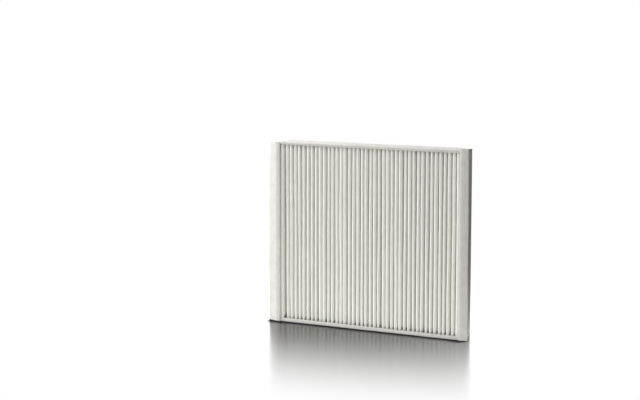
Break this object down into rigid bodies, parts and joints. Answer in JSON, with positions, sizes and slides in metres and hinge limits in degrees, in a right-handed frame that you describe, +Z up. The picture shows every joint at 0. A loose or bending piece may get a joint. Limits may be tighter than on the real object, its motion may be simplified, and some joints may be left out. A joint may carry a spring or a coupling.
{
  "type": "pleated panel filter",
  "caption": "Upright air filter panel: a white nonwoven sheet folded into pleats, framed by felt strips, with a soft flange along each end.",
  "frame": {"origin": "middle of the underside, on the surface that the panel stands on", "axes": "+X along the width, +Y from the front to the back, +Z up along the pleats"},
  "size_m": [0.2362, 0.03, 0.2],
  "materials": {
    "media": "matt white nonwoven sheet, faintly warm",
    "felt": "matt white needle felt, stiff and slightly fuzzy"
  },
  "bodies": {
    "root": {"pleated_media": "media", "top_band": "felt", "bottom_band": "felt", "left_end_strip": "felt", "right_end_strip": "felt"}
  },
  "joints": []
}
